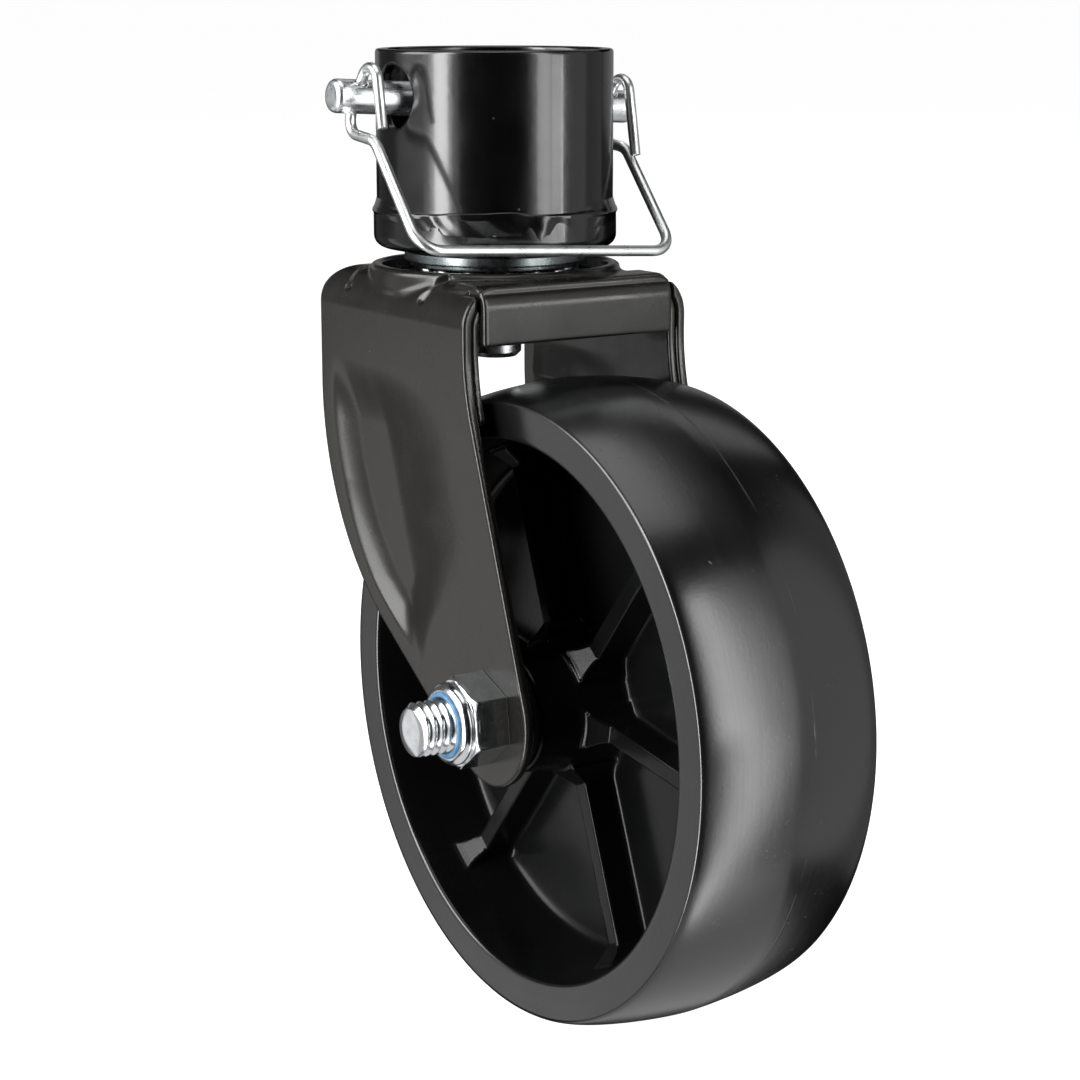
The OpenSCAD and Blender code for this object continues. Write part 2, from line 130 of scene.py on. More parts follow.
def seeded_noise(p, size, seed):
    """Smooth noise from -1 to 1 with features of the given size, the same on every run."""
    rng = np.random.default_rng(seed)
    waves = 7
    total = 0
    for _ in range(waves):
        wave = rng.normal(size=3)
        wave *= 2 * math.pi / (size * np.linalg.norm(wave)) * rng.uniform(0.6, 1.5)
        total = total + np.sin(p @ wave + rng.uniform(0, 2 * math.pi))
    return total / (waves / 2)


def surface_net(values, wrap):
    """Vertices in grid steps and quads of the zero surface of values. Axis wrap is joined to itself."""
    nodes = values
    if wrap is not None:
        nodes = np.concatenate([values, values.take([0], axis=wrap)], axis=wrap)
    cells = np.array(nodes.shape) - 1
    count = np.zeros(cells, np.float32)
    total = np.zeros((*cells, 3), np.float32)
    for axis in range(3):
        u, v = (axis + 1) % 3, (axis + 2) % 3
        a = nodes.take(range(cells[axis]), axis=axis)
        b = nodes.take(range(1, cells[axis] + 1), axis=axis)
        cross = (a < 0) != (b < 0)
        t = np.where(cross, a / np.where(cross, a - b, 1), 0)
        for du in (0, 1):
            for dv in (0, 1):
                part = [slice(None)] * 3
                part[u] = slice(du, du + cells[u])
                part[v] = slice(dv, dv + cells[v])
                c = cross[tuple(part)]
                count += c
                total[..., axis] += t[tuple(part)]
                total[..., u] += c * du
                total[..., v] += c * dv
    active = count > 0
    number = np.full(cells, -1)
    number[active] = np.arange(active.sum())
    points = np.argwhere(active) + total[active] / count[active][:, None]
    quads = []
    for axis in range(3):
        u, v = (axis + 1) % 3, (axis + 2) % 3
        source = nodes if axis == wrap else values
        n = source.shape[axis] - 1
        a = source.take(range(n), axis=axis) < 0
        b = source.take(range(1, n + 1), axis=axis) < 0
        where = np.argwhere(a != b)
        keep = np.ones(len(where), bool)
        for w in (u, v):
            if w != wrap:
                keep &= (where[:, w] > 0) & (where[:, w] < values.shape[w] - 1)
        where = where[keep]
        rising = a[tuple(where.T)]
        ring = []
        for du, dv in ((1, 1), (0, 1), (0, 0), (1, 0)):
            cell = where.copy()
            cell[:, u] = (cell[:, u] - du) % cells[u] if u == wrap else cell[:, u] - du
            cell[:, v] = (cell[:, v] - dv) % cells[v] if v == wrap else cell[:, v] - dv
            ring.append(number[tuple(cell.T)])
        quad = np.stack(ring, 1)
        quad[~rising] = quad[~rising][:, ::-1]
        quads.append(quad)
    return points, np.concatenate(quads)


def gradient(field, p, h=0.04):
    """Direction and steepness of a field at points p."""
    out = np.empty_like(p)
    for axis in range(3):
        d = np.zeros(3)
        d[axis] = h
        out[:, axis] = (field(p + d) - field(p - d)) / (2 * h)
    return out


def settle(field, p, rounds=4, reach=0.4):
    """Points moved onto the zero surface of a field."""
    for _ in range(rounds):
        g = gradient(field, p)
        move = (field(p) / np.maximum((g * g).sum(1), 0.05))[:, None] * g
        far = np.linalg.norm(move, axis=1, keepdims=True)
        p = p - move * np.minimum(1, reach / np.maximum(far, 1e-9))
    return p


def from_box(i, axes):
    """Grid steps to points on a straight grid."""
    return np.stack([np.interp(i[..., k], range(len(axes[k])), axes[k]) for k in range(3)], -1)


def from_polar(i, axes):
    """Grid steps to points on a grid of radius, turn and height."""
    r = np.interp(i[..., 0], range(len(axes[0])), axes[0])
    turn = i[..., 1] * 2 * math.pi / axes[1]
    return np.stack([r * np.cos(turn), r * np.sin(turn),
                     np.interp(i[..., 2], range(len(axes[2])), axes[2])], -1)


def span(low, high, step):
    """Evenly spaced grid places from low to high, about step apart."""
    return np.linspace(low, high, max(2, int(round((high - low) / step)) + 1))


def mesh_object(name, points, faces, normals=None):
    """A smooth mesh object from points in millimetres."""
    mesh = bpy.data.meshes.new(name)
    mesh.from_pydata((np.asarray(points) * MM).tolist(), [], [tuple(f) for f in np.asarray(faces).tolist()])
    mesh.polygons.foreach_set("use_smooth", [True] * len(mesh.polygons))
    mesh.update()
    if normals is not None:
        mesh.normals_split_custom_set_from_vertices(normals.tolist())
    thing = bpy.data.objects.new(name, mesh)
    bpy.context.scene.collection.objects.link(thing)
    return thing


def close_and_thin(thing, keep):
    """Closes open rings at an axis and merges away a share of the faces where it shows least."""
    work = bmesh.new()
    work.from_mesh(thing.data)
    open_edges = [e for e in work.edges if e.is_boundary]
    if open_edges:
        filled = bmesh.ops.holes_fill(work, edges=open_edges, sides=0)["faces"]
        for face in filled:
            middle = sum((v.co for v in face.verts), Vector()) / len(face.verts)
            bmesh.ops.pointmerge(work, verts=face.verts[:], merge_co=middle)
    work.to_mesh(thing.data)
    work.free()
    if keep < 1:
        thin = thing.modifiers.new("thin", "DECIMATE")
        thin.ratio = keep
        graph = bpy.context.evaluated_depsgraph_get()
        thing.data = bpy.data.meshes.new_from_object(thing.evaluated_get(graph))
        thing.modifiers.clear()


def field_object(name, field, axes, polar=False, place=None, keep=1.0):
    """A mesh object of the surface where a field in local millimetres is zero."""
    spread = from_polar if polar else from_box
    counts = [len(axes[0]), axes[1] if polar else len(axes[1]), len(axes[2])]
    values = np.empty(counts, np.float32)
    j, k = np.meshgrid(range(counts[1]), range(counts[2]), indexing="ij")
    for i in range(counts[0]):
        steps = np.stack([np.full(j.shape, i), j, k], -1).reshape(-1, 3)
        values[i] = field(spread(steps, axes)).reshape(counts[1:])
    steps, quads = surface_net(values, 1 if polar else None)
    local = settle(field, spread(steps, axes))
    thing = mesh_object(name, local, quads)
    close_and_thin(thing, keep)
    at = np.empty(len(thing.data.vertices) * 3)
    thing.data.vertices.foreach_get("co", at)
    local = settle(field, at.reshape(-1, 3) / MM, 2)
    out = gradient(field, local)
    out /= np.maximum(np.linalg.norm(out, axis=1, keepdims=True), 1e-9)
    if place is not None:
        local, out = place(local), place(out) - place(np.zeros((1, 3)))
    thing.data.vertices.foreach_set("co", (local * MM).ravel())
    thing.data.update()
    facing = np.empty(len(thing.data.vertices) * 3)
    thing.data.vertices.foreach_get("normal", facing)
    if (facing.reshape(-1, 3) * out).sum() < 0:
        thing.data.flip_normals()
    thing.data.polygons.foreach_set("use_smooth", [True] * len(thing.data.polygons))
    thing.data.update()
    thing.data.normals_split_custom_set_from_vertices(out.tolist())
    return thing


def at_axle(p):
    """Local points with height along the axle, in the row frame."""
    return np.stack([p[:, 0] + AXLE[0], p[:, 2], p[:, 1] + AXLE[2]], 1)


# The lock pin lies loose in its holes: it droops, and is shifted along its axis.
PIN_DROOP = math.radians(3.2)
PIN_Z = -12.7
PIN_SHIFT = 2.7


def at_pin(p):
    """Points in the lock pin's own frame, with the pin along Y, in the row frame."""
    x, y, z = p[:, 0], p[:, 1] - PIN_SHIFT, p[:, 2]
    c, s = math.cos(PIN_DROOP), math.sin(PIN_DROOP)
    return np.stack([x, y * c + z * s, z * c - y * s + PIN_Z], 1)


def along_pin(p):
    """Local points with height along the lock pin, in the row frame."""
    return at_pin(np.stack([p[:, 0], p[:, 2], p[:, 1]], 1))


# ---------------------------------------------------------------- materials

class Material:
    """A node material that is put together with short calls."""

    def __init__(self, name, **sockets):
        self.made = bpy.data.materials.new(name)
        self.made.use_nodes = True
        self.tree = self.made.node_tree
        self.shader = self.tree.nodes["Principled BSDF"]
        for socket, value in sockets.items():
            self.shader.inputs[socket.replace("_", " ")].default_value = value
        self.place = self.add("ShaderNodeTexCoord").outputs["Object"]

    def add(self, kind, inputs=None, **settings):
        node = self.tree.nodes.new(kind)
        for key, value in settings.items():
            setattr(node, key, value)
        for key, value in (inputs or {}).items():
            if isinstance(value, bpy.types.NodeSocket):
                self.tree.links.new(value, node.inputs[key])
            else:
                node.inputs[key].default_value = value
        return node

    def noise(self, size_mm, detail=3.0, rough=0.5, place=None, distortion=0.0):
        """Noise from 0 to 1 with features of a size in millimetres."""
        inputs = {"Vector": place or self.place, "Scale": 1 / (size_mm * MM), "Detail": detail,
                  "Roughness": rough, "Distortion": distortion}
        return self.add("ShaderNodeTexNoise", inputs).outputs["Fac"]

    def stretched(self, x, y, z):
        """Object coordinates scaled along each axis."""
        return self.add("ShaderNodeMapping", {"Vector": self.place, "Scale": (x, y, z)}).outputs[0]

    def remap(self, value, low, high, to_low=0.0, to_high=1.0):
        inputs = {"Value": value, "From Min": low, "From Max": high, "To Min": to_low, "To Max": to_high}
        return self.add("ShaderNodeMapRange", inputs).outputs["Result"]

    def math(self, operation, a, b=0.0):
        return self.add("ShaderNodeMath", {0: a, 1: b}, operation=operation).outputs[0]

    def mix(self, amount, a, b):
        """Colour a where amount is 0 and b where it is 1."""
        return self.add("ShaderNodeMix", {0: amount, 6: a, 7: b}, data_type="RGBA").outputs[2]

    def specks(self, cell_mm, size, share):
        """1 on small round specks, one in a share of the cells."""
        cells = self.add("ShaderNodeTexVoronoi", {"Vector": self.place, "Scale": 1 / (cell_mm * MM)})
        near = self.remap(cells.outputs["Distance"], size, size * 0.6)
        picked = self.math("LESS_THAN", cells.outputs["Color"], share)
        return self.math("MULTIPLY", near, picked)

    def bump(self, *layers):
        """Stacks bump layers of (height, depth in millimetres)."""
        normal = None
        for height, depth in layers:
            inputs = {"Height": height, "Strength": 1.0, "Distance": depth * MM}
            if normal is not None:
                inputs["Normal"] = normal
            normal = self.add("ShaderNodeBump", inputs).outputs["Normal"]
        self.tree.links.new(normal, self.shader.inputs["Normal"])

    def drive(self, socket, value):
        self.tree.links.new(value, self.shader.inputs[socket])


def paint(name, colour, tint, rough, coat, peel_mm, peel_depth):
    """Sprayed paint: orange peel, slow gloss changes, dust specks and small rubs."""
    m = Material(name, Specular_IOR_Level=0.5, Coat_Weight=coat, Coat_Roughness=0.08)
    cloud = m.noise(14, 4, 0.6)
    dust = m.specks(2.6, 0.12, 0.1)
    rubs = m.remap(m.noise(0.9, 5, 0.7, m.stretched(1, 1, 0.12)), 0.66, 0.74)
    tone = m.mix(m.remap(cloud, 0.3, 0.7), (*colour, 1), (*tint, 1))
    tone = m.mix(m.math("MULTIPLY", dust, 0.5), tone, (*[min(1, c * 5 + 0.03) for c in colour], 1))
    m.drive("Base Color", tone)
    gloss = m.remap(cloud, 0.25, 0.75, rough * 0.85, rough * 1.2)
    gloss = m.math("ADD", gloss, m.math("MULTIPLY", rubs, 0.08))
    m.drive("Roughness", m.math("ADD", gloss, m.math("MULTIPLY", dust, 0.15)))
    m.bump((m.noise(peel_mm, 2, 0.4), peel_depth), (dust, 0.03), (m.noise(9, 2), 0.05))
    return m.made


def plated(name, colour, tint, rough, streak_along, streak_depth=0.01):
    """Zinc plating: pale metal with faint tints, drawing streaks and uneven gloss."""
    m = Material(name, Metallic=1.0, Specular_IOR_Level=0.5)
    cloud = m.noise(3.5, 4, 0.6)
    streaks = m.noise(0.35, 4, 0.6, m.stretched(*streak_along))
    m.drive("Base Color", m.mix(m.remap(cloud, 0.3, 0.7), (*colour, 1), (*tint, 1)))
    gloss = m.remap(cloud, 0.25, 0.75, rough * 0.75, rough * 1.3)
    m.drive("Roughness", m.math("ADD", gloss, m.remap(streaks, 0.45, 0.8, 0.0, 0.1)))
    m.bump((streaks, streak_depth), (m.noise(0.8, 3), 0.006))
    return m.made


# Places on the wheel in millimetres: radii where gloss and wear change, and the mould's parting line.
INSIDE_FADE = (62.5, 64.5)
TREAD_FADE = (72.2, 73.5)
PARTING_Y = 4.0
PARTING_FADE = (0.3, 0.1)
INSIDE_GLOSS = 0.22
TREAD_GLOSS = 0.95


def moulded_wheel():
    """Satin black plastic: mould flow clouds, fine grain, a parting line and scuffs round the tread."""
    m = Material("wheel_plastic")
    apart = m.add("ShaderNodeSeparateXYZ", {"Vector": m.place}).outputs
    dx = m.math("SUBTRACT", apart["X"], AXLE[0] * MM)
    dz = m.math("SUBTRACT", apart["Z"], AXLE[2] * MM)
    radius = m.math("SQRT", m.math("ADD", m.math("MULTIPLY", dx, dx), m.math("MULTIPLY", dz, dz)))
    hoop = m.add("ShaderNodeCombineXYZ", {"X": radius, "Y": apart["Y"]}).outputs[0]
    rings = m.noise(0.9, 5, 0.6, hoop)
    patches = m.noise(16, 4, 0.6)
    cloud = m.noise(28, 3, 0.5)
    tread = m.remap(radius, *(r * MM for r in TREAD_FADE))
    gloss_level = m.remap(radius, *(r * MM for r in INSIDE_FADE), INSIDE_GLOSS, TREAD_GLOSS)
    m.drive("Specular IOR Level", gloss_level)
    off_line = m.math("ABSOLUTE", m.math("SUBTRACT", apart["Y"], PARTING_Y * MM))
    line = m.math("MULTIPLY", m.remap(off_line, *(y * MM for y in PARTING_FADE)), tread)
    broken = m.math("MULTIPLY", line, m.remap(patches, 0.42, 0.56))
    fine = m.noise(1.4, 6, 0.75, distortion=1.2)
    scuffs = m.math("MULTIPLY", m.remap(fine, 0.62, 0.7), m.remap(m.noise(9, 2), 0.55, 0.66))
    scuffs = m.math("MULTIPLY", scuffs, tread)
    tone = m.mix(m.remap(cloud, 0.3, 0.7), (0.002, 0.0021, 0.0022, 1), (0.0035, 0.0036, 0.0038, 1))
    tone = m.mix(m.math("MULTIPLY", scuffs, 0.35), tone, (0.11, 0.11, 0.11, 1))
    tone = m.mix(m.math("MULTIPLY", broken, 0.3), tone, (0.09, 0.09, 0.09, 1))
    m.drive("Base Color", tone)
    gloss = m.math("ADD", m.remap(rings, 0.3, 0.75, 0.22, 0.26), m.remap(cloud, 0.3, 0.7, -0.03, 0.03))
    m.drive("Roughness", m.math("ADD", gloss, m.math("MULTIPLY", scuffs, 0.12)))
    m.bump((rings, 0.003), (m.noise(0.9, 3), 0.012), (broken, 0.04), (scuffs, 0.02), (patches, 0.03))
    return m.made


def nylon(name, colour, deep, rough, see_through):
    """Moulded nylon: cloudy, dull and a little see-through."""
    m = Material(name, Subsurface_Weight=see_through, Subsurface_Scale=0.0015)
    cloud = m.noise(2.2, 3)
    m.drive("Base Color", m.mix(m.remap(cloud, 0.3, 0.7), (*colour, 1), (*deep, 1)))
    m.drive("Roughness", m.remap(m.noise(1.1, 3), 0.3, 0.7, rough * 0.8, rough * 1.2))
    m.bump((m.noise(0.5, 3), 0.02))
    return m.made


# Colours come in pairs, between which each surface drifts. After them stand the roughness and the finish.
SLEEVE_PAINT = paint("sleeve_paint", (0.0008, 0.0008, 0.0008), (0.0015, 0.0015, 0.0014), 0.2, 0.35, 2.2, 0.02)
FORK_PAINT = paint("fork_paint", (0.0068, 0.0061, 0.0052), (0.009, 0.0083, 0.007), 0.25, 0.12, 1.1, 0.012)
DRAWN = (1, 0.08, 1)
TURNED = (1, 1, 6)
EVEN = (1, 1, 1)
ZINC = plated("zinc", (0.86, 0.88, 0.89), (0.76, 0.80, 0.81), 0.27, DRAWN)
WIRE_ZINC = plated("wire_zinc", (0.86, 0.87, 0.87), (0.74, 0.76, 0.76), 0.3, EVEN, 0.004)
RACE_STEEL = plated("race_steel", (0.20, 0.225, 0.225), (0.15, 0.17, 0.17), 0.25, TURNED)
# The balls' steel is darker than bare steel: painted shade for the gap under the race in which they run.
SHADED_BALL_STEEL = plated("ball_steel", (0.35, 0.35, 0.34), (0.24, 0.24, 0.23), 0.2, EVEN, 0.001)
WHEEL_PLASTIC = moulded_wheel()
NUT_ZINC = plated("nut_zinc", (0.86, 0.88, 0.89), (0.74, 0.78, 0.80), 0.15, DRAWN, 0.004)
NYLON_BLUE = nylon("nylon_blue", (0.075, 0.19, 0.34), (0.12, 0.25, 0.41), 0.3, 0.15)
NYLON_BLACK = nylon("nylon_black", (0.004, 0.004, 0.004), (0.008, 0.008, 0.008), 0.4, 0.0)


def finish_piece(thing, material, body, slot, *nodes):
    """Gives a piece its material and the body it rides on, and hides the CAD nodes it stands for. Its slot is
    not used.
    """
    thing.data.materials.clear()
    thing.data.materials.append(material)
    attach(thing, body)
    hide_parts(*nodes)


# ---------------------------------------------------------------- socket

HOLE_R = 7.4
HOLE_Z = -11.0
SLEEVE_WALL = 2.9
CUT_EDGE = 0.9  # width over which sawn, punched and drilled edges are rounded


def sleeve_field(p):
    """A tube with a cross hole through both walls."""
    r = np.hypot(p[:, 0], p[:, 1])
    wall = np.abs(r - (SLEEVE_R - SLEEVE_WALL / 2)) - SLEEVE_WALL / 2
    top, bottom = SLEEVE_HIGH[2], SLEEVE_LOW[2]
    ends = np.abs(p[:, 2] - (top + bottom) / 2) - (top - bottom) / 2
    hole = HOLE_R - np.hypot(p[:, 0], p[:, 2] - HOLE_Z)
    return smooth_max(smooth_max(wall, ends, CUT_EDGE), hole, CUT_EDGE)


def make_sleeve():
    axes = (span(SLEEVE_R - SLEEVE_WALL - 1, SLEEVE_R + 1, 0.4), 300, span(-43, 1, 0.55))
    thing = field_object("sleeve_tube_painted", sleeve_field, axes, polar=True)
    finish_piece(thing, SLEEVE_PAINT, "socket", "sleeve_paint", "sleeve_tube")


CUP_WALL_TOP = CUP_HIGH[2]
CUP_BORE_R = 6.4
CUP_CORNER = 3.0
WELD_MIDDLE = math.radians(-36)
WELD_FOOT = 6.2


def off_weld(p):
    """Angle away from the place on the front where the weld was started and stopped."""
    turn = np.arctan2(p[:, 1], p[:, 0]) - WELD_MIDDLE
    return np.abs(np.degrees(np.mod(turn + math.pi, 2 * math.pi) - math.pi))


def cup_field(p):
    """A pressed cup, dented by the welding at its front, that holds the sleeve's end."""
    r = np.hypot(p[:, 0], p[:, 1])
    front = 1 - step_up(off_weld(p) - 18, 26)
    dents = 0.12 + 0.3 * seeded_noise(p, 34, 3) + front * (0.3 * seeded_noise(p, 9, 7) - 0.3)
    outside = round_corner(r - CUP_R + 0.5 - dents * 0.8, -(p[:, 2] - CUP_LOW[2]), CUP_CORNER)
    body = smooth_max(outside, p[:, 2] - CUP_WALL_TOP, 1.3)
    seat = np.maximum(r - SLEEVE_R - 0.05, SLEEVE_LOW[2] - p[:, 2])
    return np.maximum(smooth_max(body, -seat, 0.3), CUP_BORE_R - r)


def weld_field(p):
    """A bead that is thick and lumpy over the front of the cup and runs out to a flare at its back."""
    r = np.hypot(p[:, 0], p[:, 1])
    above = p[:, 2] - CUP_WALL_TOP
    off = off_weld(p)
    share = step_up(52 - off, 20)
    middle = step_up(26 - off, 12)
    lumps = share * (1 - 0.75 * middle) * (0.26 * seeded_noise(p, 9, 11) + 0.14 * seeded_noise(p, 4.5, 12))
    reach = CUP_R - 0.15 + lumps - 0.13 * np.maximum(-above - 1, 0) - 0.25 * middle
    bead = round_corner(r - reach, above - 0.15 - middle * (0.5 + 0.2 * seeded_noise(p, 12, 5)), 0.6)
    flare = step_up(off - 40, 25)
    u = np.maximum(r - SLEEVE_R + 0.05, 0) / (0.2 + 0.95 * flare)
    v = np.maximum(above + 0.6, 0) / (0.7 + 2.6 * flare)
    level = np.maximum((u ** 0.9 + v ** 0.9 - 1) * 0.5, -0.9 - above)
    outside = smooth_min(bead, level, 0.4)
    inside = np.maximum(SLEEVE_R - 0.1 - r, r - CUP_R - 0.5)
    return np.maximum(np.maximum(outside, -WELD_FOOT - above), inside)


def make_collar():
    cup = field_object("collar_cup_painted", cup_field,
                       (span(6, CUP_R + 1, 0.5), 300, span(CUP_LOW[2] - 1, CUP_HIGH[2] + 1, 0.5)),
                       polar=True, keep=0.5)
    finish_piece(cup, SLEEVE_PAINT, "socket", "sleeve_paint", "collar_cup")
    weld = field_object("sleeve_weld_bead", weld_field,
                        (span(SLEEVE_R - 0.6, CUP_R + 1, 0.2), 420,
                         span(CUP_WALL_TOP - WELD_FOOT - 0.6, CUP_WALL_TOP + 3.6, 0.25)), polar=True)
    finish_piece(weld, SLEEVE_PAINT, "socket", "sleeve_paint", "sleeve_weld")


# Ball tracks: radius of the ring of balls, height of their centres and radius of the groove.
UPPER_TRACK = (16, -52.9, 3.475)
LOWER_TRACK = (14, -59.7, 2.68)

# The hub and the steps of the upper race: radius, height of the middle and half the thickness.
RACE_HUB = (13, -49, 1.9)
RACE_STEPS = ((RACE_HIGH[0], -49.2, 1.2), (RACE_HIGH[0] - 1.5, -50.5, 1.1))
RACE_EDGE = 0.35
RACE_BORE_R = 6.5


def ball_track(r, z, track):
    """Distance outside the ring-shaped groove in which a row of balls runs."""
    pitch, height, radius = track
    return np.hypot(r - pitch, z - height) - radius


def upper_race_field(p):
    """A turned disc in two steps, with a thicker hub and a groove for the balls underneath."""
    r = np.hypot(p[:, 0], p[:, 1])
    z = p[:, 2]
    hub_r, hub_z, hub_half = RACE_HUB
    body = np.maximum(r - hub_r, np.abs(z - hub_z) - hub_half)
    for radius, middle, half in RACE_STEPS:
        body = np.minimum(body, smooth_max(r - radius, np.abs(z - middle) - half, RACE_EDGE))
    return np.maximum(np.maximum(body, -ball_track(r, z, UPPER_TRACK)), RACE_BORE_R - r)


def make_race():
    axes = (span(6, RACE_HIGH[0] + 0.8, 0.3), 240, span(RACE_LOW[2] - 0.6, RACE_HIGH[2] + 0.6, 0.2))
    race = field_object("upper_race_turned", upper_race_field, axes, polar=True, keep=0.5)
    finish_piece(race, RACE_STEEL, "socket", "race_steel", "upper_race")


# ---------------------------------------------------------------- lock pin and bail

PIN_R = 3.97
PIN_HALF = 42.0
PIN_CHAMFER = 0.8
BAIL_HALF = 35.3
WIRE_R = 1.3
WIRE_SLACK = 0.2
HOLE_LEAN = math.radians(30)
BAIL_LEAN = math.radians(43.5)
BAIL_REACH = 45.6
HOOK_LEAN = math.radians(15)
HOOK_OUT = 10.7

# Rings of the wire's rounded ends: distance from the end in millimetres and share of the full radius.
WIRE_END = ((0.0, 0.02), (0.19, 0.75), (0.25, 0.95))


def pin_field(p):
    """The pin along local height, where local x is the row's X and local y is up."""
    r = np.hypot(p[:, 0], p[:, 1])
    end = np.abs(p[:, 2]) - PIN_HALF
    chamfer = (r - PIN_R + end + PIN_CHAMFER) * math.sqrt(0.5)
    body = smooth_max(np.maximum(r - PIN_R, end), chamfer, 0.5)
    across = p[:, 0] * math.cos(HOLE_LEAN) - p[:, 1] * math.sin(HOLE_LEAN)
    hole = WIRE_R + WIRE_SLACK - np.hypot(across, np.abs(p[:, 2]) - BAIL_HALF)
    return smooth_max(body, hole, 0.35)


def make_pin():
    ends = span(BAIL_HALF - 3, PIN_HALF + 0.6, 0.3)
    height = np.concatenate([-ends[::-1], span(-BAIL_HALF + 3.8, BAIL_HALF - 3.8, 1.2), ends])
    pin = field_object("locking_pin_plated", pin_field, (span(0.15, PIN_R + 0.7, 0.3), 72, height),
                       polar=True, place=along_pin)
    finish_piece(pin, ZINC, "pin_and_bail", "zinc", "locking_pin")


def unit(v):
    """A vector of length 1 in the direction of v."""
    return v / np.linalg.norm(v)


def rounded_path(corners, radii, step=math.radians(7)):
    """Points along straight runs whose corners are rounded by their own radii."""
    out = [corners[0]]
    for i in range(1, len(corners) - 1):
        a = unit(corners[i] - corners[i - 1])
        b = unit(corners[i + 1] - corners[i])
        turn = math.acos(np.clip(a @ b, -1, 1))
        start = corners[i] - a * radii[i] * math.tan(turn / 2)
        side = unit(b - a * (a @ b))
        steps = max(2, math.ceil(turn / step))
        for t in np.linspace(0, turn, steps + 1):
            out.append(start + a * radii[i] * math.sin(t) + side * radii[i] * (1 - math.cos(t)))
    return np.array(out + [corners[-1]])


def tube_object(name, path, radius, sides=20):
    """A round wire along a path, with its cut ends slightly rounded."""
    way = np.gradient(path, axis=0)
    way /= np.linalg.norm(way, axis=1, keepdims=True)
    normal = np.array([0.0, 1.0, 0.0])
    rings = []
    turns = np.arange(sides) * 2 * math.pi / sides
    stations = [(path[0] + way[0] * back, way[0], share) for back, share in WIRE_END]
    stations += [(p, t, 1.0) for p, t in zip(path[1:-1], way[1:-1])]
    stations += [(path[-1] - way[-1] * back, way[-1], share) for back, share in WIRE_END[::-1]]
    for at, t, share in stations:
        normal = unit(normal - t * (normal @ t))
        other = np.cross(t, normal)
        rings.append(at + radius * share * (np.outer(np.cos(turns), normal) + np.outer(np.sin(turns), other)))
    points = at_pin(np.concatenate(rings))
    faces = []
    for i in range(len(rings) - 1):
        for k in range(sides):
            j = (k + 1) % sides
            faces.append((i * sides + k, i * sides + j, (i + 1) * sides + j, (i + 1) * sides + k))
    work = mesh_object(name, points, faces)
    close_and_thin(work, 1)
    work.data.polygons.foreach_set("use_smooth", [True] * len(work.data.polygons))
    return work


def bail_side(side):
    """Corners of one side of the bail, from the free end of its hook to the bar."""
    s = side * BAIL_HALF
    hook_low = -9.25 - side * 2.25
    leg_start, under = 13.5, 9.5
    up = (math.sin(HOLE_LEAN), math.cos(HOLE_LEAN))
    top = HOOK_OUT / (math.tan(HOLE_LEAN) + math.tan(HOOK_LEAN))
    leg = (math.sin(BAIL_LEAN), -math.cos(BAIL_LEAN))
    return [np.array(c) for c in (
        (HOOK_OUT - hook_low * math.tan(HOOK_LEAN), s, hook_low),
        (top * math.tan(HOLE_LEAN), s, top),
        (-under * up[0], s, -under * up[1]),
        (leg_start * leg[0], s, leg_start * leg[1]),
        (BAIL_REACH * leg[0], s, BAIL_REACH * leg[1]))]


def make_bail():
    corners = bail_side(-1) + bail_side(1)[::-1]
    bends = [0, 3.7, 3.6, 6, 6]
    wire = tube_object("bail_wire_bent", rounded_path(corners, bends + bends[::-1]), WIRE_R)
    finish_piece(wire, WIRE_ZINC, "pin_and_bail", "zinc", "bail_wire")


# ---------------------------------------------------------------- fork

SHEET = 2.5
FORK_BEND = 9.5
FORK_TOP = -52.4
BACK_ARC_R = 69.4
BACK_ARC_Z = -81.0
END_R = 16.5
FORK_FRONT = 35.7
FRONT_LEAN = math.radians(19.5)
BOSS_R = 30.4
BOSS_TOP = FORK_HIGH[2]
BOSS_BOTTOM = -57.4
DISH_R = 27.5
DISH_FLOOR = -54.2
PANEL_FRONT = 37.0
PANEL_BACK = 24
PANEL_HALF = 26.4
PANEL_LOW = -66.0
PANEL_BEND = 5.0
SWIVEL_BORE_R = 7.15
BOLT_HOLE_R = 6.45
SLOT_HALF = 0.55

# The long hollow pressed into each cheek: where it begins, and over what width it reaches its depth.
PRESS_DEPTH = 2.6
PRESS_BACK, PRESS_BACK_WIDTH = 6.5, 16
PRESS_FRONT, PRESS_FRONT_WIDTH = 9, 31
PRESS_TOP, PRESS_LOW_R, PRESS_END_WIDTH = -74, 29, 16

# The two short grooves pinched across each bend between the top and a cheek.
PINCH_X = 17.2
PINCH_MIDDLE = -2.2
PINCH_SPREAD = 2.5
PINCH_R = 1.35
PINCH_ABOVE = 0.45
PINCH_TURNS = (math.radians(33), math.radians(76))

AXLE_XZ = np.array([AXLE[0], AXLE[2]])
BACK_CENTRE = np.array([FORK_BACK + BACK_ARC_R, BACK_ARC_Z])
TO_AXLE = AXLE_XZ - BACK_CENTRE
BACK_ANGLE = (math.atan2(TO_AXLE[1], TO_AXLE[0])
              - math.acos((BACK_ARC_R - END_R) / np.linalg.norm(TO_AXLE)))
BACK_TOUCH = np.array([math.cos(BACK_ANGLE), math.sin(BACK_ANGLE)])
FRONT_TOUCH = np.array([math.cos(FRONT_LEAN), math.sin(FRONT_LEAN)])


def front_edge(x, z):
    """Distance in front of the cheek's front edge, which leans forward below a knee."""
    slant = (x - AXLE_XZ[0]) * FRONT_TOUCH[0] + (z - AXLE_XZ[1]) * FRONT_TOUCH[1] - END_R
    return smooth_min(x - FORK_FRONT, slant, 3)


